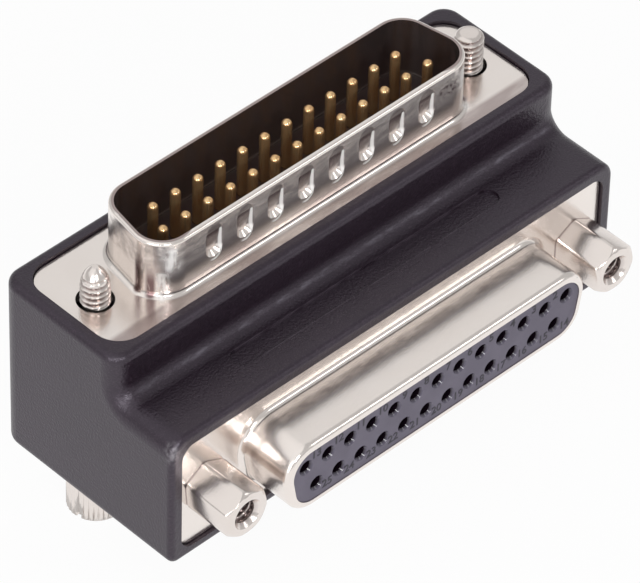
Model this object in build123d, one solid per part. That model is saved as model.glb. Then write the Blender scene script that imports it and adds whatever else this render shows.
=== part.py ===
from build123d import *
import os
from collections import namedtuple
from math import atan, cos, radians, sin, tan

os.makedirs("parts", exist_ok=True)

# Right-angle adapter between two 25-way D-shaped connectors, all sizes in millimetres.
# The origin is the centre of the plug's flange face. +X runs along the contact rows,
# +Z is the way the plug points and -Y is the way the socket points.

# Contact grid
long_row = 13
short_row = 12
contact_pitch = 2.77
row_spacing = 2.84

# Connector shells, drawn from sheet steel
end_margin = 2.86
side_margin = 2.76
shell_slant = 10.0
shell_corner = 2.6
shell_sheet = 0.5
plug_height = 6.5
socket_height = 5.95
mating_gap_x = 0.4
mating_gap_y = 0.23
base_radius = 0.6
plug_lip_radius = 0.32
socket_lip_radius = 0.6
socket_turn_in = 0.33

# Grip dimples in the plug shell's long wall
dimple_count = 8
dimple_pitch = 3.81
dimple_width = 2.05
dimple_depth = 0.45
dimple_slope = 45.0
dimple_run = 3.2
dimple_bottom = 2.1
dimple_lip = 0.55

# Flanges
flange_sheet = 0.6
plug_flange_corner = 2.6
socket_flange_corner = 1.4
flange_side = 1.65
fixing_offset = 3.54
fixing_end = 3.15
plug_hole = 3.6
socket_hole = 3.05

# Rear shells and insulators
rear_sheet = 0.5
rear_box_margin = 0.45
rear_box_depth = 2.8
rear_box_corner = 1.8
rear_lip = 1.0
front_collar = 1.3
rear_body = 1.9
rear_body_inset = 0.1
rear_body_corner = 0.9
seat_gap = 0.03
face_recess = 0.1

# Plug contacts
pin_diameter = 1.02
pin_length = 5.585
shoulder_depth = 2.5
cup_length = 4.3
cup_bore = 0.8
cup_depth = 2.4
cup_scoop = 1.6

# Socket contacts
mouth_diameter = 1.72
mouth_depth = 0.28
mouth_wall = 1.1
entry_diameter = 1.22
barrel_diameter = 1.6
barrel_bore = 1.04
barrel_end = 1.9
barrel_slit = 0.22
slit_length = 4.2
tail_diameter = 0.64
tail_past_board = 1.2

# Circuit board
board_thickness = 1.6
board_groove = 0.45
board_gap = 0.04
board_drop = 0.6

# Moulded housing
socket_reach = 14.62
socket_drop = 12.4
rim_width = 1.34
rim_rise = 0.4
flange_gap = 0.1
bottom_wall = 1.1
box_gap = 0.1
cavity_corner = 1.2
end_radius = 2.0
back_radius = 2.0
foot_radius = 1.0
top_rim_radius = 0.8
front_rim_radius = 0.6
cove_radius = 1.6
recess_length = 33.4
recess_width = 2.2
recess_depth = 0.25
recess_inset = 4.2

# Hex jackscrews and their inserts
thread_diameter = 2.845
tap_diameter = 2.3
thread_gap = 0.02
hex_flats = 4.76
hex_length = 5.55
hex_bore_depth = 5.0
hex_countersink = 3.14
hex_chamfer = 0.35
hex_foot = 0.12
hex_edge = 0.05
left_hex_turn = 5.0
right_hex_turn = 0.0
jackscrew_shank = 5.4
insert_diameter = 4.4
insert_length = 4.6
insert_head = 4.9
insert_head_depth = 0.8
insert_groove = 0.25

# Captive thumbscrews and their retaining rings
screw_travel = 1.2
shank_diameter = 3.25
relief_diameter = 2.5
thread_start = -0.05
stop_gap = 0.05
running_gap = 0.07
ring_thickness = 0.6
ring_outer = 4.1
ring_neck = 2.0
ring_split = 1.5
head_diameter = 5.6
head_length = 4.6
head_chamfer = 0.3
knurl_count = 34
knurl_depth = 0.17
slot_width = 0.7
slot_depth = 0.75
slot_turn = 11.0
left_tip_height = 4.0
left_tip_taper = 2.3
left_tip_flat = 0.6
right_tip_height = 4.0
right_tip_taper = 0.73
right_tip_flat = 1.6

# Sizes that follow from the ones above
plug_inner_width = (long_row - 1) * contact_pitch + 2 * end_margin
plug_inner_height = row_spacing + 2 * side_margin
plug_outer_width = plug_inner_width + 2 * shell_sheet
plug_outer_height = plug_inner_height + 2 * shell_sheet
socket_outer_width = plug_inner_width - 2 * mating_gap_x
socket_outer_height = plug_inner_height - 2 * mating_gap_y
socket_face = socket_height - face_recess
fixing_x = plug_outer_width / 2 + fixing_offset
flange_width = 2 * (fixing_x + fixing_end)
flange_height = plug_outer_height + 2 * flange_side
flange_stack = flange_sheet + rear_sheet
box_width = plug_outer_width + 2 * rear_box_margin
box_height = plug_outer_height + 2 * rear_box_margin
collar_width = box_width - 2 * rear_sheet
collar_height = box_height - 2 * rear_sheet
collar_corner = rear_box_corner - rear_sheet
window_width = collar_width - 2 * rear_lip
window_height = collar_height - 2 * rear_lip
collar_floor = flange_sheet + front_collar
box_floor = flange_stack + rear_box_depth
insulator_end = box_floor + rear_body
cup_end = insulator_end + cup_length
cup_diameter = row_spacing - board_thickness - 2 * board_gap
rim_half_width = flange_width / 2 + flange_gap + rim_width
rim_half_depth = flange_height / 2 + flange_gap + rim_width
ledge_z = -socket_drop + rim_half_depth
bottom_z = -socket_drop - flange_height / 2 - flange_gap - bottom_wall
front_y = -socket_reach - rim_rise
cavity_half_width = box_width / 2 + box_gap
cavity_half_depth = box_height / 2 + box_gap
cavity_floor = -socket_drop - cavity_half_depth
board_half_width = cavity_half_width + board_groove
board_top = -insulator_end - board_drop
ring_floor = -flange_stack - ring_thickness - screw_travel - 2 * stop_gap
screw_bore = shank_diameter + 2 * running_gap
insert_bore_end = -flange_stack - jackscrew_shank

# The two connectors; side is the sign of Y on which the long row lies, before the socket is turned
Connector = namedtuple("Connector", "side width height length hole flange_corner lip_radius turn_in")
plug = Connector(-1, plug_outer_width, plug_outer_height, plug_height, plug_hole,
                 plug_flange_corner, plug_lip_radius, 0)
socket = Connector(1, socket_outer_width, socket_outer_height, socket_height, socket_hole,
                   socket_flange_corner, socket_lip_radius, socket_turn_in)
socket_place = Location((0, -socket_reach, -socket_drop)) * Rotation(90, 0, 0)

# Half width of the bands in which edges are looked for
band = shell_sheet / 50


def d_profile(width, height, corner, side):
    """D outline whose long side faces side * Y; width is taken over its rounded corners."""
    slant = radians(shell_slant)
    spread = corner * ((1 + sin(slant)) / cos(slant) - 1)
    half_long = width / 2 + spread
    half_short = half_long - height * tan(slant)
    y = side * height / 2
    outline = Polyline((-half_long, y), (half_long, y), (half_short, -y), (-half_short, -y), close=True)
    face = make_face(outline)
    return fillet(face.vertices(), corner)


def shell_outline(kind, inset):
    """D outline that lies inset inside a connector shell's outer one."""
    corner = shell_corner + shell_sheet - inset
    return d_profile(kind.width - 2 * inset, kind.height - 2 * inset, corner, kind.side)


def slab(outline, low, high):
    """Prism of an outline between two heights."""
    return extrude(Pos(0, 0, low) * outline, high - low)


def rod(diameter, low, high):
    """Plain round rod along Z."""
    return slab(Circle(diameter / 2), low, high)


def turned(points):
    """Turned solid from a half section given as radius and height points."""
    section = make_face(Polyline(*points, close=True))
    return revolve(Plane.XZ * section, Axis.Z)


def row(count, side):
    """Places of one contact row, side * half the row spacing from the centreline."""
    y = side * row_spacing / 2
    return [Pos((i - (count - 1) / 2) * contact_pitch, y, 0) for i in range(count)]


def both_rows(side):
    """Places of all contacts of a connector whose long row lies to that side."""
    return row(long_row, side) + row(short_row, -side)


def group(shape, places):
    """Separate copies of a solid, kept as one compound."""
    return Compound(children=[place * shape for place in places])


# Connector shells

def flange_plate(kind, thickness, top):
    """Flat flange with rounded corners and two fixing holes, its upper face at top."""
    plate = slab(RectangleRounded(flange_width, flange_height, kind.flange_corner), top - thickness, top)
    for x in (-fixing_x, fixing_x):
        plate -= Pos(x, 0, 0) * rod(kind.hole, top - 2 * thickness, top + thickness)
    return plate


def front_shell(kind):
    """D collar drawn up from its flange, with a rounded root and a lip that may turn inwards."""
    body = flange_plate(kind, flange_sheet, 0)
    body += slab(shell_outline(kind, 0), -flange_sheet, kind.length)
    root = body.edges().filter_by_position(Axis.Z, -band, band)
    root = root.filter_by_position(Axis.X, -kind.width / 2 - band, kind.width / 2 + band)
    root = root.filter_by_position(Axis.Y, -kind.height / 2 - band, kind.height / 2 + band)
    body = fillet(root, base_radius)
    body = fillet(body.edges().group_by(Axis.Z)[-1], kind.lip_radius)
    body -= slab(shell_outline(kind, shell_sheet + kind.turn_in), -2 * flange_sheet, 2 * kind.length)
    if kind.turn_in > 0:
        body -= slab(shell_outline(kind, shell_sheet), -2 * flange_sheet, kind.length - shell_sheet)
    return body


def dimple_pad(wall_y, spread, rise):
    """Scoop going inwards from a wall face: sloped sides, deepest at its foot, its floor running out at the top."""
    top = plug_height - dimple_lip
    outline = SlotOverall(top - dimple_bottom + 2 * spread, dimple_width + 2 * spread, rotation=90)
    wall = Plane(origin=(0, wall_y, (top + dimple_bottom) / 2), x_dir=(1, 0, 0), z_dir=(0, -plug.side, 0))
    pad = extrude(wall * outline, dimple_depth, taper=dimple_slope)
    past_y = wall_y - plug.side * 2 * dimple_depth
    run_out = Polyline(
        (wall_y, top + rise),
        (past_y, top + rise - 2 * dimple_run),
        (past_y, plug_height),
        (wall_y, plug_height),
        close=True,
    )
    return pad - extrude(Plane.YZ * make_face(run_out), dimple_width + spread, both=True)


def plug_front_shell():
    """Plug shell with the row of grip dimples pressed into its long wall."""
    body = front_shell(plug)
    side = radians(dimple_slope)
    floor = atan(dimple_depth / dimple_run)
    press = dimple_pad(plug.side * plug_outer_height / 2, 0, 0)
    spread = shell_sheet * (1 / cos(side) - tan(side))
    rise = shell_sheet * (1 / cos(floor) - 1) / tan(floor)
    bulge = dimple_pad(plug.side * plug_inner_height / 2, spread, rise)
    places = [Pos((i - (dimple_count - 1) / 2) * dimple_pitch, 0, 0) for i in range(dimple_count)]
    for place in places:
        body += place * bulge
    for place in places:
        body -= place * press
    return body


def rear_shell(kind):
    """Rear flange with a drawn box that clamps the two insulators to the front shell."""
    body = flange_plate(kind, rear_sheet, -flange_sheet)
    body += slab(RectangleRounded(box_width, box_height, rear_box_corner), -box_floor, -flange_sheet)
    body -= slab(RectangleRounded(collar_width, collar_height, collar_corner), -box_floor + rear_sheet, 0)
    return body - slab(RectangleRounded(window_width, window_height, rear_body_corner), -2 * box_floor, 0)


# Insulators

def collar(low, high):
    """Insulator collar that fills the rear shell's box."""
    outline = RectangleRounded(collar_width - 2 * seat_gap, collar_height - 2 * seat_gap, collar_corner)
    return slab(outline, low, high)


def front_insulator(kind, top):
    """Moulded core of a D shell, with the collar that the two shells hold."""
    core = slab(shell_outline(kind, shell_sheet + seat_gap), -collar_floor, top)
    return core + collar(-collar_floor, -flange_sheet - seat_gap)


def plug_front_insulator():
    """Floor of the plug, flush with the flange, with a hole for each pin."""
    body = front_insulator(plug, 0)
    for place in both_rows(plug.side):
        body -= place * rod(pin_diameter + 2 * seat_gap, -2 * collar_floor, collar_floor)
    return body


def socket_front_insulator():
    """Face of the socket, with a funnel, a short bore and a barrel chamber for each contact."""
    body = front_insulator(socket, socket_height - shell_sheet - seat_gap)
    body += slab(shell_outline(socket, shell_sheet + socket_turn_in + seat_gap), 0, socket_face)
    funnel = Cone(entry_diameter / 2, mouth_diameter / 2, mouth_depth)
    funnel = Pos(0, 0, socket_face - mouth_depth / 2) * funnel
    bore = rod(entry_diameter, -2 * collar_floor, socket_face)
    chamber = rod(barrel_diameter + 2 * seat_gap, -2 * collar_floor, socket_face - mouth_depth - mouth_wall)
    for place in both_rows(socket.side):
        body -= place * (funnel + bore + chamber)
    return body


def rear_insulator(kind, hole):
    """Moulded back of the connector, reaching through the rear shell's window."""
    width = window_width - 2 * rear_body_inset
    height = window_height - 2 * rear_body_inset
    body = collar(-box_floor + rear_sheet + seat_gap, -collar_floor - seat_gap)
    body += slab(RectangleRounded(width, height, rear_body_corner), -insulator_end, -collar_floor - seat_gap)
    for place in both_rows(kind.side):
        body -= place * rod(hole, -2 * insulator_end, 0)
    return body


# Contacts

def pin_row(count, side):
    """One row of round-nosed pins, each solder cup scooped open on the side away from the board."""
    nose = pin_diameter / 2
    pin = rod(pin_diameter, -shoulder_depth, pin_length - nose) + Pos(0, 0, pin_length - nose) * Sphere(nose)
    pin += rod(cup_diameter, -cup_end, -shoulder_depth)
    pin -= rod(cup_bore, -cup_end - cup_depth, -cup_end + cup_depth)
    scoop = Box(2 * cup_diameter, cup_diameter, cup_scoop)
    pin -= Pos(0, side * cup_diameter / 2, -cup_end + cup_scoop / 2) * scoop
    return group(pin, row(count, side))


def contact_row(count, side):
    """One row of slit barrels, each with a press-fit tail through the board."""
    top = socket_face - mouth_depth - mouth_wall - seat_gap
    tail_end = -socket_reach - board_thickness / 2 - tail_past_board
    barrel = rod(barrel_diameter, -barrel_end, top) + rod(tail_diameter, tail_end, -barrel_end)
    barrel -= rod(barrel_bore, top - slit_length, top + slit_length)
    barrel -= Pos(0, 0, top - slit_length / 2) * Box(2 * barrel_diameter, barrel_slit, slit_length)
    return group(barrel, row(count, side))


# Housing

def housing():
    """One moulding: tall back block, stepped front block, flange recesses and inner cavities."""
    body = housing_form()
    body -= connector_pocket(plug)
    body -= socket_place * connector_pocket(socket)
    body -= inner_cavity()
    for x in (-fixing_x, fixing_x):
        body -= Pos(x, 0, 0) * screw_bore_tool()
        body -= socket_place * Pos(x, 0, 0) * insert_pocket_tool()
    return body - ledge_recess()


def housing_form():
    """Stepped block, coved in the step, with moulded edges."""
    side = Polyline(
        (rim_half_depth, rim_rise),
        (-rim_half_depth, rim_rise),
        (-rim_half_depth, ledge_z),
        (front_y, ledge_z),
        (front_y, bottom_z),
        (rim_half_depth, bottom_z),
        close=True,
    )
    section = make_face(side)
    inner_corner = section.vertices().sort_by_distance(Vector(-rim_half_depth, ledge_z, 0))[0]
    section = fillet(inner_corner, cove_radius)
    body = extrude(Plane.YZ * section, rim_half_width, both=True)
    body = fillet(step_edges(body), end_radius)
    body = fillet(back_edges(body), back_radius)
    body = fillet(foot_edges(body), foot_radius)
    body = fillet(body.faces().sort_by(Axis.Z)[-1].outer_wire().edges(), top_rim_radius)
    return fillet(body.faces().sort_by(Axis.Y)[0].outer_wire().edges(), front_rim_radius)


def step_edges(body):
    """End edges that run down the front of the back block, round the cove and along the ledge."""
    edges = body.edges().group_by(Axis.X)[0] + body.edges().group_by(Axis.X)[-1]
    edges = edges.filter_by_position(Axis.Y, front_y + band, -rim_half_depth + band)
    return edges.filter_by_position(Axis.Z, ledge_z - band, rim_rise - band)


def back_edges(body):
    """Upright edges at the back."""
    edges = body.edges().filter_by(Axis.Z)
    return edges.filter_by_position(Axis.Y, rim_half_depth - band, rim_half_depth + band)


def foot_edges(body):
    """Bottom edges, the front one apart."""
    edges = body.edges().filter_by_position(Axis.Z, bottom_z - band, bottom_z + band)
    return [edge for edge in edges if edge.center().Y > front_y + band]


def connector_pocket(kind):
    """Recess in which a connector's two flanges lie."""
    width = flange_width + 2 * flange_gap
    height = flange_height + 2 * flange_gap
    outline = RectangleRounded(width, height, kind.flange_corner + flange_gap)
    return slab(outline, -flange_stack, 2 * rim_rise)


def inner_cavity():
    """L-shaped hollow behind both connectors, with the two grooves that hold the board."""
    opening = RectangleRounded(2 * cavity_half_width, 2 * cavity_half_depth, cavity_corner)
    body = slab(opening, cavity_floor, 0)
    body += socket_place * slab(opening, -socket_reach, 0)
    groove = Rectangle(2 * board_half_width + 2 * board_gap, board_thickness + 2 * board_gap)
    return body + slab(groove, cavity_floor, 0)


def screw_bore_tool():
    """Bore for a thumbscrew right through the block, with the chamber in which its ring rides."""
    return rod(screw_bore, 2 * bottom_z, 0) + rod(ring_outer + 2 * running_gap, ring_floor, 0)


def insert_pocket_tool():
    """Stepped blind hole for a threaded insert, with room for the jackscrew's end."""
    body = rod(insert_diameter + 2 * thread_gap, -flange_stack - insert_length, 0)
    body += rod(thread_diameter + 2 * running_gap, insert_bore_end, 0)
    return body + rod(insert_head + 2 * thread_gap, -flange_stack - insert_head_depth, 0)


def ledge_recess():
    """Long shallow recess in the ledge."""
    outline = SlotOverall(recess_length, recess_width)
    return Pos(0, front_y + recess_inset, ledge_z) * slab(outline, -recess_depth, recess_depth)


def circuit_board():
    """Board that stands in the grooves, its top edge between the pin cups."""
    foot = cavity_floor + board_gap
    body = slab(Rectangle(2 * board_half_width, board_thickness), foot, board_top)
    hole = rod(tail_diameter + 2 * thread_gap, -2 * socket_reach, 0)
    for place in both_rows(socket.side):
        body -= socket_place * place * hole
    return body


# Fasteners

def jackscrew(turn):
    """Hexagonal standoff, bored for a screw, with its threaded shank behind the flange."""
    corner = hex_flats / 2 / cos(radians(30))
    blank = turned([
        (0, 0),
        (corner - hex_foot, 0),
        (corner - hex_edge, hex_foot),
        (corner - hex_edge, hex_length - hex_chamfer),
        (hex_flats / 2, hex_length),
        (0, hex_length),
    ])
    body = slab(RegularPolygon(corner, 6, rotation=30 + turn), 0, hex_length) & blank
    body += rod(thread_diameter, insert_bore_end + stop_gap, 0)
    body -= rod(tap_diameter, hex_length - hex_bore_depth, 2 * hex_length)
    depth = (hex_countersink - tap_diameter) / 2
    return body - Pos(0, 0, hex_length - depth / 2) * Cone(tap_diameter / 2, hex_countersink / 2, depth)


def insert():
    """Headed brass insert pressed into the housing behind the socket's flange."""
    head = -flange_stack - stop_gap
    shoulder = -flange_stack - insert_head_depth + stop_gap
    low = -flange_stack - insert_length + stop_gap
    middle = (shoulder + low) / 2
    radius = insert_diameter / 2
    bore = thread_diameter / 2 + thread_gap
    return turned([
        (bore, head),
        (insert_head / 2, head),
        (insert_head / 2, shoulder),
        (radius, shoulder),
        (radius, middle + insert_groove),
        (radius - insert_groove, middle),
        (radius, middle - insert_groove),
        (radius, low),
        (bore, low),
    ])


def knurled_head(high):
    """Straight-knurled thumb head with chamfered rims and a driver slot, its top at high."""
    low = high - head_length
    radius = head_diameter / 2
    notch = Rectangle(knurl_depth * 2**0.5, knurl_depth * 2**0.5, rotation=45)
    outline = Circle(radius) - PolarLocations(radius, knurl_count) * notch
    blank = turned([
        (0, low),
        (radius - head_chamfer, low),
        (radius, low + head_chamfer),
        (radius, high - head_chamfer),
        (radius - head_chamfer, high),
        (0, high),
    ])
    slot = Pos(0, 0, low) * Rot(0, 0, slot_turn) * Box(2 * head_diameter, slot_width, 2 * slot_depth)
    return (slab(outline, low, high) & blank) - slot


def thumbscrew(tip_height, tip_taper, tip_flat):
    """Captive screw: threaded end, relief below the thread, ring groove, shank and knurled head."""
    shank = shank_diameter / 2
    relief = relief_diameter / 2
    thread = thread_diameter / 2
    groove_top = ring_floor + ring_thickness + 2 * stop_gap
    head_top = bottom_z - screw_travel - 2 * stop_gap
    stem = Polyline(
        (0, tip_height),
        (0, head_top),
        (shank, head_top),
        (shank, ring_floor),
        (ring_neck / 2, ring_floor),
        (ring_neck / 2, groove_top),
        (relief, groove_top),
        (relief, thread_start),
        (thread, thread_start),
        (thread, tip_height - tip_taper),
    )
    nose = TangentArc((thread, tip_height - tip_taper), (tip_flat / 2, tip_height), tangent=(0, 1))
    section = make_face(stem + nose + Line((tip_flat / 2, tip_height), (0, tip_height)))
    return revolve(Plane.XZ * section, Axis.Z) + knurled_head(head_top)


def retaining_ring():
    """Open ring that snaps into the screw's groove and rides in the housing's chamber."""
    low = ring_floor + stop_gap
    outline = Circle(ring_outer / 2) - Circle(ring_neck / 2 + running_gap)
    outline -= Pos(0, ring_outer / 2) * Rectangle(ring_split, ring_outer)
    return slab(outline, low, low + ring_thickness)


# Sub-parts, one file each

nodes = {
    "housing": housing(),
    "plug_front_shell": plug_front_shell(),
    "plug_rear_shell": rear_shell(plug),
    "plug_front_insulator": plug_front_insulator(),
    "plug_rear_insulator": rear_insulator(plug, cup_diameter + 2 * seat_gap),
    "plug_pins_long_row": pin_row(long_row, plug.side),
    "plug_pins_short_row": pin_row(short_row, -plug.side),
    "socket_front_shell": socket_place * front_shell(socket),
    "socket_rear_shell": socket_place * rear_shell(socket),
    "socket_front_insulator": socket_place * socket_front_insulator(),
    "socket_rear_insulator": socket_place * rear_insulator(socket, tail_diameter + 2 * seat_gap),
    "socket_contacts_long_row": socket_place * contact_row(long_row, socket.side),
    "socket_contacts_short_row": socket_place * contact_row(short_row, -socket.side),
    "circuit_board": circuit_board(),
    "left_jackscrew": socket_place * Pos(-fixing_x, 0, 0) * jackscrew(left_hex_turn),
    "right_jackscrew": socket_place * Pos(fixing_x, 0, 0) * jackscrew(right_hex_turn),
    "left_insert": socket_place * Pos(-fixing_x, 0, 0) * insert(),
    "right_insert": socket_place * Pos(fixing_x, 0, 0) * insert(),
    "left_thumbscrew": Pos(-fixing_x, 0, 0) * thumbscrew(left_tip_height, left_tip_taper, left_tip_flat),
    "right_thumbscrew": Pos(fixing_x, 0, 0) * thumbscrew(right_tip_height, right_tip_taper, right_tip_flat),
    "left_retaining_ring": Pos(-fixing_x, 0, 0) * retaining_ring(),
    "right_retaining_ring": Pos(fixing_x, 0, 0) * retaining_ring(),
}

for name, shape in nodes.items():
    export_step(shape, f"parts/{name}.step")
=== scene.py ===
import math

import bmesh
import bpy
import numpy as np
from mathutils import Matrix, Vector


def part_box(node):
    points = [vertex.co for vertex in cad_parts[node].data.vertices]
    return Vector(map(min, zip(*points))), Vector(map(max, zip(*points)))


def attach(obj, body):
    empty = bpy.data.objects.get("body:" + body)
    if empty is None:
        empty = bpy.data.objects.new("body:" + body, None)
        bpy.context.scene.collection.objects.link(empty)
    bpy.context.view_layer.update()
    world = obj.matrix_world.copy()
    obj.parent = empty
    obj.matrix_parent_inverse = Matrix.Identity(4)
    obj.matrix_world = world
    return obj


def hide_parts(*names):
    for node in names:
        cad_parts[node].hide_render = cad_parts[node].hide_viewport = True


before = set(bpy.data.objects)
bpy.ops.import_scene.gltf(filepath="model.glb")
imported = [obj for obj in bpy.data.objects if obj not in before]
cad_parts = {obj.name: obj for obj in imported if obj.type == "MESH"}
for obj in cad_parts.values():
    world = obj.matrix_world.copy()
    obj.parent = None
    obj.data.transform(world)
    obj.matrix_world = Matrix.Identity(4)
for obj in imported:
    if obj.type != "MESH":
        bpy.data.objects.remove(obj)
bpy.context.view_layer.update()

# Housing: one black moulding, injected into a spark-eroded mould, so its faces have a fine matt grain.
# It holds both connectors, the upright board and the two captive screws. Handling has left a few pale
# specks and one whitish scuff at the front rim's corner. A thin line along the cove and the long edges of
# the ledge's recess carry painted highlights.

mm = 0.001
housing_low, housing_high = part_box("housing")
socket_axis_z = -12.4 * mm
ledge_z = socket_axis_z + housing_high.y
cove_inset = 0.47 * mm
cove_line = (0, -housing_high.y - cove_inset, ledge_z + cove_inset)
cove_highlight_radius = 0.4 * mm
recess_middle = -10.82 * mm
recess_half_width = 1.1 * mm
recess_end = 15.6 * mm
scuff_place = (housing_low.x + 0.4 * mm, housing_low.y + 0.1 * mm, ledge_z - 1.1 * mm)
scuff_radius = 1.5 * mm
scuff_shape = (1.8, 1, 0.7)
speck_spacing = 2.2 * mm
speck_radius = 0.09 * mm
speck_share = 0.16
moulded_grain = 0.14 * mm
leather = 0.24 * mm
leather_depth = 0.045 * mm
drawn_along_x = (0.3, 1, 1)
plastic_dark = (0.0075, 0.0026, 0.0064)
plastic_light = (0.0102, 0.0042, 0.009)
grain_light = (0.055, 0.036, 0.052)
recess_highlight_grey = (0.07, 0.055, 0.07)
cove_highlight_grey = (0.11, 0.1, 0.12)
scuff_white = (0.4, 0.38, 0.4)
speck_white = (0.4, 0.37, 0.4)


class Field:
    """A shader value that varies over the surface. An expression on it adds its Math nodes."""

    def __init__(self, nodes, socket):
        self.nodes = nodes
        self.socket = socket

    def maths(self, operation, *values):
        """One Math node on these values."""
        return self.nodes.node("ShaderNodeMath", {"operation": operation}, dict(enumerate(values)))

    def __add__(self, other):
        return self.maths("ADD", self, other)

    def __radd__(self, other):
        return self.maths("ADD", other, self)

    def __sub__(self, other):
        return self.maths("SUBTRACT", self, other)

    def __rsub__(self, other):
        return self.maths("SUBTRACT", other, self)

    def __mul__(self, other):
        return self.maths("MULTIPLY", self, other)

    def __rmul__(self, other):
        return self.maths("MULTIPLY", other, self)

    def __neg__(self):
        return self.maths("SUBTRACT", 0, self)

    def __abs__(self):
        return self.maths("ABSOLUTE", self)

    def fraction(self):
        """What it has over the next lower whole number."""
        return self.maths("FRACT", self)

    def root(self):
        """Its square root."""
        return self.maths("SQRT", self)

    def larger(self, other):
        """The larger of the two."""
        return self.maths("MAXIMUM", self, other)

    def smaller(self, other):
        """The smaller of the two."""
        return self.maths("MINIMUM", self, other)

    def ramp(self, low, high):
        """0 up to low, 1 from high on, and smooth between."""
        limits = {"Value": self, "From Min": low, "From Max": high}
        return self.nodes.node("ShaderNodeMapRange", {"interpolation_type": "SMOOTHSTEP"}, limits)

    def fall(self, low, high):
        """1 up to low, 0 from high on, and smooth between."""
        return 1 - self.ramp(low, high)

    def band(self, low, full, fading, high):
        """0 up to low, 1 from full to fading, and 0 from high on."""
        return self.ramp(low, full) * self.fall(fading, high)


class Nodes:
    """The nodes of one material or world."""

    def __init__(self, tree):
        self.tree = tree

    def node(self, kind, settings=None, sockets=None, output=0):
        """Adds a node: its settings first, then the values or links of its sockets."""
        made = self.tree.nodes.new(kind)
        for name, value in (settings or {}).items():
            setattr(made, name, value)
        for name, value in (sockets or {}).items():
            self.feed(made.inputs[name], value)
        return Field(self, made.outputs[output])

    def feed(self, socket, value):
        """Links a field to a socket, or sets a plain value on it."""
        if isinstance(value, Field):
            self.tree.links.new(value.socket, socket)
        elif socket.type == "RGBA":
            socket.default_value = (*value, 1)
        else:
            socket.default_value = value

    def straight(self):
        """1 for rays that come from the camera itself, and 0 for the others."""
        return self.node("ShaderNodeLightPath", output="Is Camera Ray")

    def mirrored(self):
        """1 for rays off gloss or through glass, and 0 for the others."""
        rays = ("Is Glossy Ray", "Is Transmission Ray")
        glossy, clear = [self.node("ShaderNodeLightPath", output=ray) for ray in rays]
        return glossy.larger(clear)


class Finish(Nodes):
    """A procedural material in the object's own coordinates."""

    def __init__(self, name, **constants):
        self.material = bpy.data.materials.new(name)
        self.material.use_nodes = True
        super().__init__(self.material.node_tree)
        self.shader = self.tree.nodes["Principled BSDF"]
        self.place = self.node("ShaderNodeTexCoord", output="Object")
        self.paint(**constants)

    def paint(self, **values):
        """Sets or links the shader's own sockets, with base_color for Base Color and so on."""
        sockets = {socket.name.lower().replace(" ", "_"): socket for socket in self.shader.inputs}
        for name, value in values.items():
            self.feed(sockets[name], value)

    def axis(self, letter):
        """The object's own X, Y or Z in metres."""
        return self.node("ShaderNodeSeparateXYZ", None, {"Vector": self.place}, output=letter)

    def axes(self):
        """The object's own X, Y and Z in metres."""
        return [self.axis(letter) for letter in "XYZ"]

    def scaled(self, weights):
        """The object's coordinates, each times its own weight."""
        return self.node("ShaderNodeVectorMath", {"operation": "MULTIPLY"}, {0: self.place, 1: weights})

    def noise(self, size, detail=2, weights=(1, 1, 1)):
        """Soft random field, 0 to 1, in blobs about size metres across. A low weight draws them out."""
        sockets = {"Vector": self.scaled(weights), "Scale": 1 / size, "Detail": detail}
        return self.node("ShaderNodeTexNoise", None, sockets)

    def patches(self, size, low, high, weights=(1, 1, 1), detail=4):
        """Random patches: 1 where the noise is above high, 0 where it is below low."""
        return self.noise(size, detail, weights).ramp(low, high)

    def distance(self, point, weights):
        """Distance from a point. A weight scales its direction, and 0 drops it."""
        target = [value * weight for value, weight in zip(point, weights)]
        ends = {0: self.scaled(weights), 1: target}
        return self.node("ShaderNodeVectorMath", {"operation": "DISTANCE"}, ends, "Value")

    def near(self, point, radius, weights):
        """1 at a point, falling to 0 at that radius."""
        return self.distance(point, weights).fall(0, radius)

    def upright(self, line, radius, edge):
        """1 nearer than radius to the upright line at x, y or at -x, y, falling to 0 over the edge."""
        x, y = line
        left, right = [self.distance((side * x, y, 0), (1, 1, 0)) for side in (-1, 1)]
        return left.smaller(right).fall(radius, radius + edge)

    def specks(self, spacing, radius, share):
        """Round specks, one to a cell about spacing across, in that share of the cells."""
        sockets = {"Vector": self.place, "Scale": 1 / spacing}
        distance = self.node("ShaderNodeTexVoronoi", None, sockets, "Distance")
        chance = self.node("ShaderNodeTexVoronoi", None, sockets, "Color")
        edge = radius / spacing
        return distance.fall(0.6 * edge, edge) * chance.ramp(1 - share, 1.01 - share)

    def blend(self, factor, first, second):
        """The first colour where the factor is 0, the second where it is 1."""
        sockets = {0: factor, 6: first, 7: second}
        return self.node("ShaderNodeMix", {"data_type": "RGBA"}, sockets, output=2)

    def relief(self, height, depth):
        """Surface relief: height 0 to 1 stands for depth metres."""
        self.paint(normal=self.node("ShaderNodeBump", None, {"Height": height, "Distance": depth}))

    def dress(self, *names):
        """Gives CAD nodes this finish."""
        for name in names:
            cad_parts[name].material_slots[0].material = self.material


def recess_edges(finish):
    """Painted highlights along the shallow recess's two long edges, by how near each of them is."""
    x, y, z = finish.axes()
    from_edge = abs(abs(y - recess_middle) - recess_half_width)
    edges = from_edge.fall(0.03 * mm, 0.12 * mm) * abs(x).fall(recess_end - 0.3 * mm, recess_end)
    edges = edges * z.ramp(ledge_z - 0.4 * mm, ledge_z - 0.2 * mm)
    return edges * finish.patches(0.6 * mm, 0.3, 0.6, drawn_along_x)


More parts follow.
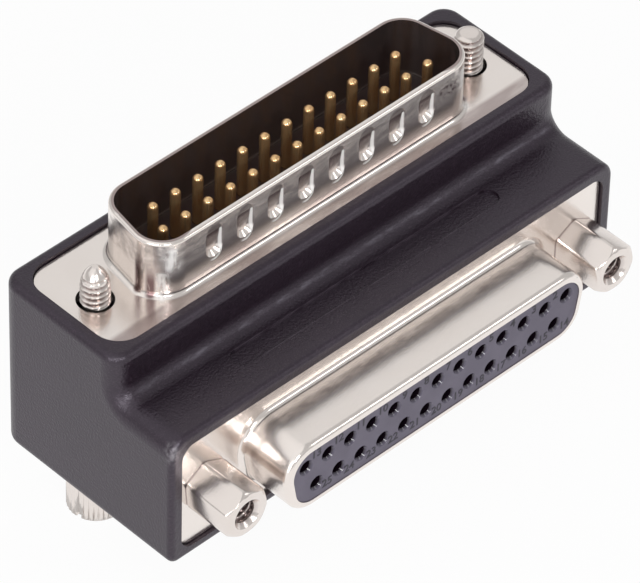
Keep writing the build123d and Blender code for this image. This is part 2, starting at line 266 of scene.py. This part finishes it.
def moulded_black():
    """Black plastic with a violet cast: grain, leathery mottling, handling marks and painted highlights."""
    finish = Finish("moulded_black_plastic", ior=1.65, specular_tint=(0.94, 0.86, 1.0))
    grain = finish.noise(moulded_grain)
    leathery = finish.noise(leather)
    # Painted highlight: a thin pale line along the cove.
    painted_highlight = finish.near(cove_line, cove_highlight_radius, (0, 1, 1))
    painted_highlight = painted_highlight * finish.patches(0.5 * mm, 0.4, 0.75, drawn_along_x)
    scuff = finish.near(scuff_place, scuff_radius, scuff_shape) * finish.patches(0.5 * mm, 0.3, 0.8)
    specks = finish.specks(speck_spacing, speck_radius, speck_share)
    colour = finish.blend(finish.patches(9 * mm, 0.35, 0.65, detail=2), plastic_dark, plastic_light)
    colour = finish.blend(0.5 * grain.ramp(0.5, 0.75), colour, grain_light)
    # Painted highlights on the recess edges.
    colour = finish.blend(0.6 * recess_edges(finish), colour, recess_highlight_grey)
    colour = finish.blend(0.8 * painted_highlight, colour, cove_highlight_grey)
    colour = finish.blend(0.8 * scuff, colour, scuff_white)
    colour = finish.blend(0.8 * specks, colour, speck_white)
    finish.paint(base_color=colour, roughness=0.28 + 0.08 * leathery + 0.06 * grain)
    finish.relief(0.4 * grain + leathery, leather_depth)
    return finish


moulded_black().dress("housing")

# Circuit board: glass fibre with green solder mask, upright in the housing's two grooves. The pins'
# solder cups straddle its top edge, and the socket's press-fit tails go through it.

fibre_weave = 1 * mm
mask_dark = (0.02, 0.11, 0.04)
mask_light = (0.03, 0.16, 0.06)

board_finish = Finish("solder_mask", roughness=0.35)
weave = {"Vector": board_finish.place, "Scale": 1 / fibre_weave}
weave = board_finish.node("ShaderNodeTexBrick", None, weave)
board_finish.paint(base_color=board_finish.blend(board_finish.noise(0.5 * mm), mask_dark, mask_light))
board_finish.relief(weave.ramp(0.2, 0.6), 0.008 * mm)
board_finish.dress("circuit_board")

# Connector shells: drawn from sheet steel and nickel plated. The plug's shell and flange are one
# drawing, with eight grip dimples; a second shell behind each clamps the insulators. The plating is
# satin and warm, with dark flecks where the sheet was stretched and a few pits.

socket_face_y = -14.62 * mm
dimple_pitch = 3.81 * mm
dimple_half_width = 1.0 * mm
dimple_low_centre = 2.6 * mm
dimple_top = 5.1 * mm
dimple_row_end = 4 * dimple_pitch
nickel_grain = 0.13 * mm
orange_peel = 0.8 * mm
plating_depth = 0.008 * mm
pit_spacing = 0.9 * mm
pit_radius = 0.07 * mm
nickel_shaded = (0.84, 0.768, 0.718)
nickel_bright = (0.88, 0.822, 0.785)
stretched_grey = (0.3, 0.26, 0.25)
painted_shade_brown = (0.14, 0.066, 0.07)
painted_highlight_white = (0.9, 0.88, 0.86)
pit_brown = (0.16, 0.1, 0.09)
sheet_edge = 0.1 * mm
collar_slant = math.tan(math.radians(10))
collar_back = 4.38 * mm
collar_end = 19.44 * mm
collar_corner = 2.8 * mm
front_corner = (16.88 * mm, -1.58 * mm)
back_corner = (16.32 * mm, 1.58 * mm)
upper_highlight_line = (18.3 * mm, -4.3 * mm)
lower_highlight_line = (18.95 * mm, -3.9 * mm)
long_streak = (19.95 * mm, -1.75 * mm)
short_streak = (19.6 * mm, -3.05 * mm)
speckle_height = 4.4 * mm


def nickel_plate(name, marks):
    """Nickel over steel: orange peel, fine grain, soft clouds and pits, with the piece's own marks.

    The marks are three shares of the surface: mottled by stretching, darkened by painted shade and dark
    reflections, and made dull white by painted highlights.
    """
    finish = Finish(name)
    worn, dark, pale = marks(finish)
    mottle = finish.patches(0.7 * mm, 0.3, 0.7, (0.45, 1, 1), 5) * worn
    pits = finish.specks(pit_spacing, pit_radius, 0.1)
    colour = finish.blend(finish.noise(4 * mm), nickel_shaded, nickel_bright)
    colour = finish.blend(0.5 * mottle, colour, stretched_grey)
    # dark carries painted shade and dark reflections, pale carries painted highlights.
    colour = finish.blend(dark, colour, painted_shade_brown)
    colour = finish.blend(pale, colour, painted_highlight_white)
    colour = finish.blend(0.8 * pits, colour, pit_brown)
    finish.paint(base_color=colour, metallic=0.95 - 0.6 * pale)
    finish.paint(roughness=0.19 + 0.08 * worn + 0.2 * pits)
    waves = 0.6 * finish.noise(orange_peel) + finish.noise(nickel_grain)
    finish.relief(waves + 0.6 * mottle, plating_depth)
    return finish


def collar_inside(finish):
    """1 on the inner faces of the plug's collar: its back wall, its two ends and its round corners.

    Each limit lies within the sheet, so the outer faces stay out. The ends slant, and their inner faces
    lie where x + slant * y is less than collar_end. Each corner is round an upright line at x, y.
    """
    x, y, height = finish.axes()
    end_x, end_y = back_corner
    back_wall = y.band(end_y - sheet_edge, end_y, collar_back, collar_back + sheet_edge)
    back_wall = back_wall * abs(x).fall(end_x, end_x + sheet_edge)
    ends = (abs(x) + collar_slant * y).fall(collar_end, collar_end + sheet_edge)
    ends = ends * abs(y).fall(end_y, end_y + sheet_edge)
    corners = (front_corner, back_corner)
    front, back = [finish.upright(corner, collar_corner, sheet_edge) for corner in corners]
    return back_wall.larger(ends).larger(front).larger(back) * height.ramp(0.2 * mm, 0.4 * mm)


def dimple_light(finish):
    """Two shares of the surface in the grip dimples: in shade, and catching the light.

    A dimple's outline is the distance from an upright line, which ends at its low centre. Its upper part
    is in shade, and its right and lower sides catch the light.
    """
    x, y, height = finish.axes()
    across = dimple_pitch * ((x * (1 / dimple_pitch)).fraction() - 0.5)
    above = height - dimple_low_centre
    below = above.smaller(0)
    reach = (across * across + below * below).root()
    front = (-y).ramp(3 * mm, 3.4 * mm) * abs(x).fall(dimple_row_end - 0.05 * mm, dimple_row_end)
    pressed = reach.fall(dimple_half_width - 0.1 * mm, dimple_half_width) * front
    pressed = pressed * height.fall(dimple_top - 0.15 * mm, dimple_top)
    side = reach.ramp(0.55 * dimple_half_width, 0.8 * dimple_half_width)
    lip = height.ramp(dimple_top - 0.7 * mm, dimple_top - 0.2 * mm)
    lit = (0.7 * across - above).ramp(0.1 * mm, 0.9 * mm).larger(across.ramp(0.6 * mm, 0.75 * mm))
    upper = above.ramp(-0.2 * mm, 1.1 * mm)
    shade = pressed * (1 - lit) * upper * (0.35 + 0.4 * side.larger(lip))
    return shade, pressed * side * lit


def corner_rubs(finish, worn):
    """Painted highlights as dull white patches round two upright lines at each front corner of the plug."""
    height = finish.axis("Z")
    low = finish.upright(lower_highlight_line, 0, 0.9 * mm) * height.fall(2.7 * mm, 3.3 * mm)
    painted_highlight = (finish.upright(upper_highlight_line, 0, 1.5 * mm) * worn).larger(low)
    return painted_highlight * finish.patches(0.6 * mm, 0.25, 0.6, (1, 1, 0.4))


def corner_stains(finish):
    """Painted dark reflections: brown streaks down the plug's front corners. Dark speckle by the right one.
    """
    x, y, height = finish.axes()
    long = finish.upright(long_streak, 0.1 * mm, 0.45 * mm) * height.fall(2.6 * mm, 5 * mm)
    short = finish.upright(short_streak, 0.2 * mm, 0.5 * mm) * height.fall(1.6 * mm, 4.4 * mm)
    streaks = long.larger(short) * finish.patches(0.5 * mm, 0.2, 0.4, (1, 1, 0.3))
    speckle = finish.patches(0.32 * mm, 0.5, 0.62, detail=3) * (-y).ramp(4 * mm, 4.4 * mm)
    speckle = speckle * abs(height - speckle_height).fall(0.3 * mm, 1.5 * mm)
    speckle = speckle * x.ramp(dimple_row_end - 1.2 * mm, dimple_row_end + 0.6 * mm)
    return (0.9 * streaks).larger(0.75 * speckle)


def plug_marks(finish):
    """The plug's shell: stretched along its dimples, with painted shade, highlights and dark reflections.
    """
    y = finish.axis("Y")
    height = finish.axis("Z")
    inside = collar_inside(finish)
    worn = height.band(2.5 * mm, 3.6 * mm, 5.4 * mm, 6.0 * mm) * (1 - inside)
    shade, shine = dimple_light(finish)
    # Painted shade: the flange darkened along the foot of the plug's front wall.
    wall_foot_shade = (-y).ramp(4.4 * mm, 5 * mm) * height.fall(0, 0.1 * mm)
    wall_foot_shade = wall_foot_shade * (0.2 + 0.35 * finish.patches(2.5 * mm, 0.3, 0.6, drawn_along_x, 3))
    # Painted shade in the dimples, inside the collar and at the wall's foot, and the corner streaks.
    dark = shade.larger(0.65 * inside).larger(wall_foot_shade).larger(corner_stains(finish))
    return worn, dark, shine.larger(corner_rubs(finish, worn))


def socket_marks(finish):
    """The socket's collar: a mottled, rougher band along its foot, painted brown as a dark reflection."""
    height = socket_face_y - finish.axis("Y")
    streak = height.band(0.9 * mm, 1.5 * mm, 1.7 * mm, 2.8 * mm)
    # Painted dark reflection: the brown streak in the band.
    return streak, 0.22 * streak * finish.patches(1.2 * mm, 0.3, 0.6, drawn_along_x), 0


nickel_plate("plug_shell_nickel", plug_marks).dress("plug_front_shell", "plug_rear_shell")
nickel_plate("socket_shell_nickel", socket_marks).dress("socket_front_shell", "socket_rear_shell")

# Plug insulators: a dark brown moulding in two halves, with a hole for each pin. The front half is the
# floor between the pins, and the rear half carries the solder cups. The two shells clamp them.

brown_dark = (0.014, 0.005, 0.006)
brown_light = (0.024, 0.009, 0.01)


def moulded_insulator(name, dark, light, roughness):
    """Fine moulded plastic with soft clouds of colour."""
    finish = Finish(name)
    finish.paint(base_color=finish.blend(finish.patches(3 * mm, 0.3, 0.7, detail=2), dark, light))
    finish.paint(roughness=roughness + 0.1 * finish.noise(0.6 * mm))
    finish.relief(finish.noise(0.1 * mm) + 0.4 * finish.noise(0.8 * mm), 0.005 * mm)
    return finish


brown = moulded_insulator("brown_insulator", brown_dark, brown_light, 0.35)
brown.dress("plug_front_insulator", "plug_rear_insulator")

# Plug pins and socket contacts: turned brass, gold plated, pressed into the insulators. The pins are
# round nosed, and each contact is a slit barrel. The plating has fine turning marks and slight clouds.

gold_dark = (0.72, 0.42, 0.2)
gold_light = (0.9, 0.66, 0.36)

gold = Finish("gold_plate", metallic=0.88)
turning = gold.noise(0.14 * mm, 3)
gold.paint(base_color=gold.blend(gold.noise(0.8 * mm, 1), gold_dark, gold_light))
gold.paint(roughness=0.16 + 0.12 * turning)
gold.relief(turning, 0.006 * mm)
gold.dress("plug_pins_long_row", "plug_pins_short_row")
gold.dress("socket_contacts_long_row", "socket_contacts_short_row")

# Socket insulators: a violet-grey moulding with a funnel at each of the 25 holes. The mould's core pins
# leave the funnels polished. The contact numbers are moulded a little proud beside the holes: 1 to 13
# above, 14 to 25 below, from the right.

pitch = 2.77 * mm
half_spacing = 1.42 * mm
long_row = 13
all_contacts = 25
face_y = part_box("socket_front_insulator")[0].y
funnel_depth = 0.34 * mm
number_height = 0.95 * mm
number_rise = 0.045 * mm
number_stroke = 0.02 * mm
font_size = 1.35 * number_height
upper_offset = Vector((1.25 * mm, 0.97 * mm))
lower_offset = Vector((1.3 * mm, -0.75 * mm))
grey_dark = (0.105, 0.092, 0.13)
grey_light = (0.125, 0.11, 0.152)
bore_shade_black = (0.008, 0.004, 0.008)
figure_shade_dark = (0.022, 0.018, 0.028)
figure_shade_light = (0.034, 0.029, 0.042)


def grey_moulding():
    """Violet-grey plastic: matt face, polished funnels, and painted shade darkening funnels and bores."""
    finish = Finish("grey_insulator")
    depth = finish.axis("Y") - face_y
    polished = depth.ramp(0.01 * mm, 0.05 * mm)
    colour = finish.blend(finish.patches(3 * mm, 0.3, 0.7, detail=2), grey_dark, grey_light)
    # Painted shade: the funnels darken with depth, to black down the bores.
    colour = finish.blend(depth.ramp(0.02 * mm, funnel_depth), colour, bore_shade_black)
    matt = 0.45 + 0.1 * finish.noise(0.6 * mm)
    grain = finish.noise(0.12 * mm) + 0.5 * finish.noise(0.8 * mm)
    finish.paint(base_color=colour, roughness=matt * (1 - polished) + 0.14 * polished)
    finish.relief(grain * (1 - polished), 0.006 * mm)
    return finish


grey_moulding().dress("socket_front_insulator", "socket_rear_insulator")


def linked(name, data):
    """A new object of this mesh, lamp or camera, put into the scene."""
    made = bpy.data.objects.new(name, data)
    bpy.context.scene.collection.objects.link(made)
    return made


def number_mesh(number):
    """Raised figures of one contact number as points and faces, centred on its own middle."""
    text = bpy.data.curves.new("figures", "FONT")
    text.body = str(number)
    text.size = font_size
    text.extrude = number_rise / 2
    text.offset = number_stroke
    text.align_x = "CENTER"
    text.align_y = "CENTER"
    text.resolution_u = 4
    holder = bpy.data.objects.new("figures", text)
    mesh = bpy.data.meshes.new_from_object(holder)
    points = np.zeros(len(mesh.vertices) * 3)
    mesh.vertices.foreach_get("co", points)
    faces = [tuple(face.vertices) for face in mesh.polygons]
    bpy.data.objects.remove(holder)
    bpy.data.curves.remove(text)
    bpy.data.meshes.remove(mesh)
    return points.reshape(-1, 3), faces


def contact_number(number):
    """One contact's figures on the socket's face: text x goes to X, text y to Z, and they rise to -Y.

    The long row's middle contact is number 7, and the short row's middle lies halfway from 19 to 20.
    """
    upper = number <= long_row
    middle = (1 + long_row) / 2 if upper else (long_row + 1 + all_contacts) / 2
    offset = upper_offset if upper else lower_offset
    centre_x = (middle - number) * pitch + offset.x
    centre_z = socket_axis_z + (half_spacing if upper else -half_spacing) + offset.y
    points, faces = number_mesh(number)
    x, y, rise = points.T
    return np.stack([centre_x + x, face_y - rise, centre_z + y], axis=1), faces


def joined(name, parts):
    """One object from several lots of points and faces."""
    points, faces, start = [], [], 0
    for part_points, part_faces in parts:
        points.append(part_points)
        faces += [tuple(i + start for i in face) for face in part_faces]
        start += len(part_points)
    mesh = bpy.data.meshes.new(name)
    mesh.from_pydata(np.concatenate(points).tolist(), [], faces)
    return linked(name, mesh)


numbers = joined("contact_numbers", [contact_number(i + 1) for i in range(all_contacts)])
# The raised figures are painted darker than the face: painted shade.
figures = moulded_insulator("grey_figures", figure_shade_dark, figure_shade_light, 0.45)
numbers.data.materials.append(figures.material)
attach(numbers, "adapter_body")

# Threaded inserts: turned brass, pressed into the housing behind the socket's flange. Each takes the
# shank of one jackscrew.

brass_dark = (0.6, 0.43, 0.18)
brass_light = (0.72, 0.55, 0.27)

brass = Finish("turned_brass", metallic=1.0)
brass.paint(base_color=brass.blend(brass.noise(0.8 * mm), brass_dark, brass_light))
brass.paint(roughness=0.25 + 0.2 * brass.noise(0.2 * mm, 3))
brass.relief(brass.noise(0.1 * mm), 0.004 * mm)
brass.dress("left_insert", "right_insert")

# Hex jackscrews: drawn hexagonal steel, turned, bored, tapped and nickel plated. The outer end has a
# rolled chamfer and a countersink, and the 4-40 thread shows in the bore. The shank behind the flange
# screws into the insert.

fixing_x = 23.52 * mm
hex_flat = 2.38 * mm
hex_corner = hex_flat / math.cos(math.pi / 6)
hex_length = 5.55 * mm
hex_edge = 0.05 * mm
hex_foot = 0.17 * mm
hex_chamfer = 0.35 * mm
hex_roll = 0.14 * mm
foot_rings = 3
bore_depth = 5.0 * mm
bore_rings = 110
countersink_radius = 1.57 * mm
bore_radius = 1.15 * mm
thread_radius = 1.4225 * mm
thread_pitch = 0.635 * mm
crest_share = 0.16
flank_share = 0.62
shank_end = -6.45 * mm
columns = 96
sharp_edge = math.radians(32)


def closed_round(name, grid, groove):
    """Closed surface from a grid of points whose rows are rings: quads between rings, a fan at each end.

    Each point keeps how deep it lies in the thread, 0 to 1, as the attribute groove.
    """
    rows, count, _ = grid.shape
    points = np.concatenate([grid.reshape(-1, 3), [grid[0].mean(axis=0), grid[-1].mean(axis=0)]])
    ring = np.arange(count)
    after = (ring + 1) % count
    start = np.arange(rows - 1)[:, None] * count
    corners = [start + ring, start + after, start + count + after, start + count + ring]
    quads = np.stack(corners, axis=-1).reshape(-1, 4)
    last = (rows - 1) * count
    first_fan = np.stack([after, ring, np.full(count, rows * count)], axis=-1)
    last_fan = np.stack([last + ring, last + after, np.full(count, rows * count + 1)], axis=-1)
    mesh = bpy.data.meshes.new(name)
    mesh.from_pydata(points.tolist(), [], quads.tolist() + first_fan.tolist() + last_fan.tolist())
    depth = np.concatenate([groove.ravel(), groove[0, :1], groove[-1, :1]])
    mesh.attributes.new("groove", "FLOAT", "POINT").data.foreach_set("value", depth)
    mesh.shade_smooth()
    mesh.set_sharp_from_angle(angle=sharp_edge)
    return linked(name, mesh)


def thread_groove(height, turn):
    """Depth of a 60 degree thread, 0 at its crest to 1 at its root, at each height and angle.

    The share of a pitch, which a full turn moves by one, folds to a wave from 0 to 1. The wave less the
    crest's share, over the flank's, is the depth, kept between 0 and 1.
    """
    share = (height / thread_pitch - turn / (2 * np.pi)) % 1
    return np.clip((abs(2 * share - 1) - crest_share) / flank_share, 0, 1)


def jackscrew(side, turn):
    """Points and groove depths of a hexagon round an axis, cut by the turned profile.

    Its radius is hex_flat, the distance from the axis to a flat, / cos(angle from the nearest flat). The
    chamfer falls in proportion to how far the hexagon stands out past its flats, and both its edges are
    rolled. The foot and the bore count as grooves.
    """
    angle = turn + np.arange(columns) * 2 * np.pi / columns
    from_flat = (angle - turn + np.pi / 6) % (np.pi / 3) - np.pi / 6
    hexagon = np.minimum(hex_flat / np.cos(from_flat), hex_corner - hex_edge)
    shoulder = hex_length - hex_chamfer * (hexagon - hex_flat) / (hex_corner - hex_edge - hex_flat)
    outside = [
        (thread_radius, shank_end),
        (thread_radius, 0),
        (np.minimum(hexagon, hex_corner - hex_foot), 0),
        (hexagon, hex_foot),
        (hexagon, shoulder - hex_roll),
        (hexagon - 0.15 * hex_roll, shoulder - 0.4 * hex_roll),
        ((hexagon + hex_flat) / 2 - 0.35 * hex_roll, (shoulder + hex_length) / 2 - 0.15 * hex_roll),
        (hex_flat - hex_roll, hex_length - 0.03 * hex_roll),
        (countersink_radius + 0.2 * hex_roll, hex_length),
        (countersink_radius, hex_length - 0.3 * hex_roll),
    ]
    rings = np.array([np.broadcast_arrays(*ring, angle)[:2] for ring in outside])
    foot = np.arange(len(rings))[:, None] < foot_rings
    mouth = hex_length - countersink_radius + bore_radius
    level = np.linspace(mouth, hex_length - bore_depth, bore_rings)[:, None]
    fade = np.minimum(1, (mouth - level) / (0.5 * thread_pitch))
    cut = (1 - thread_groove(level, angle)) * fade
    radius = np.concatenate([rings[:, 0], bore_radius + (thread_radius - bore_radius) * cut])
    height = np.concatenate([rings[:, 1], np.broadcast_to(level, cut.shape)])
    groove = np.concatenate([np.broadcast_to(foot, rings[:, 0].shape), 0.5 + 0.5 * cut])
    x = side * fixing_x + radius * np.cos(angle)
    z = socket_axis_z + radius * np.sin(angle)
    return np.stack([x, socket_face_y - height, z], axis=-1), groove


def screw_marks(finish):
    """Screws: a thin dull film, and painted shade in the thread roots, at the foot and down the bore."""
    groove = finish.node("ShaderNodeAttribute", {"attribute_name": "groove"}, output="Fac")
    return 0, (0.75 * groove).larger(0.08), 0


screw_finish = nickel_plate("nickel_plated_screw", screw_marks)
for side, name, degrees in ((-1, "left_jackscrew", 5), (1, "right_jackscrew", 0)):
    piece = closed_round(name + "_threaded", *jackscrew(side, math.radians(degrees)))
    piece.data.materials.append(screw_finish.material)
    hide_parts(name)
    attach(piece, "adapter_body")

# Captive thumbscrews: one turned and knurled steel screw each side. The 4-40 thread ends in a long
# bullet nose on the left and a blunt one on the right. Below the thread the shank is relieved down to
# the ring groove, and the knurled head hangs below the housing.

cut_height = -0.3 * mm
relief_radius = 1.25 * mm
thread_start = -0.05 * mm
thread_depth = 0.36 * mm
rings_per_pitch = 14
weld_distance = 0.0005 * mm
bullet_nose = (4.0 * mm, 2.3 * mm, 0.3 * mm)
blunt_nose = (4.0 * mm, 0.73 * mm, 0.8 * mm)


def threaded_tip(x, height, taper, flat):
    """Points and groove depths of a screw end above cut_height.

    The nose has a height, a length of taper and the radius of its flat. The surface's radius at each
    height and angle is the smaller of the nose's arc and the thread. The arc starts upright where the
    taper starts and ends at the flat: radius = thread radius - arc radius + square root of (arc radius
    squared - rise squared).
    """
    angle = np.arange(columns) * 2 * np.pi / columns
    steps = round((height - thread_start) / thread_pitch * rings_per_pitch)
    level = np.linspace(thread_start, height, steps)[:, None]
    inset = thread_radius - flat
    arc = (inset**2 + taper**2) / (2 * inset)
    rise = np.clip(level - height + taper, 0, None)
    nose = thread_radius - arc + np.sqrt(arc**2 - rise**2)
    fade = np.clip((level - thread_start) / (0.25 * thread_pitch), 0, 1)
    groove = thread_depth * thread_groove(level, angle) * fade
    radius = np.minimum(nose, thread_radius - groove)
    rings = np.concatenate([np.full((2, columns), relief_radius), radius])
    heights = np.concatenate([[[cut_height], [thread_start]], level])
    heights = np.broadcast_to(heights, rings.shape)
    points = np.stack([x + rings * np.cos(angle), rings * np.sin(angle), heights], axis=-1)
    sunk = np.clip(nose - radius, 0, groove) / thread_depth
    return points, np.concatenate([np.zeros((2, columns)), sunk])


def cut_copy(name, height):
    """Copy of a CAD node with its loose triangles joined, cut off at a height and closed there."""
    shape = bmesh.new()
    shape.from_mesh(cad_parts[name].data)
    bmesh.ops.remove_doubles(shape, verts=shape.verts, dist=weld_distance)
    everything = shape.verts[:] + shape.edges[:] + shape.faces[:]
    level = {"plane_co": (0, 0, height), "plane_no": (0, 0, 1)}
    cut = bmesh.ops.bisect_plane(shape, geom=everything, clear_outer=True, **level)
    rim = [edge for edge in cut["geom_cut"] if isinstance(edge, bmesh.types.BMEdge)]
    bmesh.ops.contextual_create(shape, geom=rim)
    mesh = bpy.data.meshes.new(name + "_body")
    shape.to_mesh(mesh)
    shape.free()
    mesh.shade_smooth()
    mesh.set_sharp_from_angle(angle=sharp_edge)
    return linked(name + "_body", mesh)


for side, name, nose in ((-1, "left", bullet_nose), (1, "right", blunt_nose)):
    thread = closed_round(name + "_thumbscrew_thread", *threaded_tip(side * fixing_x, *nose))
    body = cut_copy(name + "_thumbscrew", cut_height)
    for piece in (thread, body):
        piece.data.materials.append(screw_finish.material)
        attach(piece, name + "_screw")
    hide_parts(name + "_thumbscrew")

# Retaining rings: open rings of spring steel, snapped into the screws' grooves inside the housing. They
# keep the screws captive and let them slide up and down.

spring_dark = (0.3, 0.3, 0.3)
spring_light = (0.42, 0.41, 0.4)

spring = Finish("spring_steel", metallic=1.0)
spring.paint(base_color=spring.blend(spring.noise(0.7 * mm), spring_dark, spring_light))
spring.paint(roughness=0.3 + 0.2 * spring.noise(0.2 * mm))
spring.relief(spring.noise(0.08 * mm), 0.003 * mm)
spring.dress("left_retaining_ring", "right_retaining_ring")

# Stage: a plain white floor under the screw heads, soft lamps, and the photograph's camera. The camera
# sees the floor and the room as white. Shiny surfaces see the floor white too, and the room at about
# half, which keeps the black housing black.

floor_gap = 0.02 * mm
floor_half = 600 * mm
floor_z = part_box("left_thumbscrew")[0].z - floor_gap
floor_white = 0.95
room_level = 0.4
room_gloss = 0.55
lamp_distance = 0.5
adapter_middle = Vector((0, -4 * mm, -8 * mm))

floor_mesh = bpy.data.meshes.new("floor")
floor_corners = [(x * floor_half, y * floor_half, floor_z) for x, y in ((-1, -1), (1, -1), (1, 1), (-1, 1))]
floor_mesh.from_pydata(floor_corners, [], [(0, 1, 2, 3)])
floor = linked("floor", floor_mesh)

floor_finish = Finish("pale_floor", base_color=(0.9, 0.9, 0.9), roughness=0.9)
card = Field(floor_finish, floor_finish.shader.outputs[0])
white = floor_finish.node("ShaderNodeEmission")
share = floor_white * floor_finish.straight().larger(floor_finish.mirrored())
surface = floor_finish.node("ShaderNodeMixShader", None, {0: share, 1: card, 2: white})
floor_finish.feed(floor_finish.tree.nodes["Material Output"].inputs["Surface"], surface)
floor_mesh.materials.append(floor_finish.material)

world = bpy.data.worlds.new("studio")
bpy.context.scene.world = world
world.use_nodes = True
room = Nodes(world.node_tree)
room_light = world.node_tree.nodes["Background"]
strength = room_level + (1 - room_level) * room.straight() + (room_gloss - room_level) * room.mirrored()
room.feed(room_light.inputs["Color"], (1, 1, 1))
room.feed(room_light.inputs["Strength"], strength)


def soft_box(name, direction, size, level):
    """Square soft box, lamp_distance out from the adapter. A mirror shows it at that level."""
    lamp = bpy.data.lights.new(name, "AREA")
    lamp.shape = "SQUARE"
    lamp.size = size
    lamp.energy = level * math.pi * size * size
    holder = linked(name, lamp)
    outward = Vector(direction).normalized()
    holder.location = adapter_middle + lamp_distance * outward
    holder.rotation_mode = "QUATERNION"
    holder.rotation_quaternion = (-outward).to_track_quat("-Z", "Y")


soft_box("top_box", (-0.5, 0.15, 0.85), 0.75, 0.42)
soft_box("left_box", (-0.9, -0.35, 0.3), 0.25, 3.5)
soft_box("back_box", (0.513, 0.513, 0.688), 0.32, 0.28)
soft_box("right_box", (0.513, -0.688, 0.513), 0.1, 3.5)
soft_box("key_box", (-0.41, -0.765, 0.5), 0.1, 23.0)

camera_data = bpy.data.cameras.new("camera")
camera_data.sensor_width = 36
camera_data.lens = 350.0
camera_data.clip_start = 0.01
camera_data.clip_end = 10
camera = linked("camera", camera_data)
right = Vector((0.7215, -0.6921, 0.0216)).normalized()
back = Vector((-0.513, -0.5134, 0.6879)).normalized()
up = back.cross(right).normalized()
place = Vector((-294.6, -299.7, 384.3)) * mm
camera.matrix_world = Matrix.Translation(place) @ Matrix((right, up, back)).transposed().to_4x4()
bpy.context.scene.camera = camera

bpy.context.scene.view_settings.view_transform = "Standard"
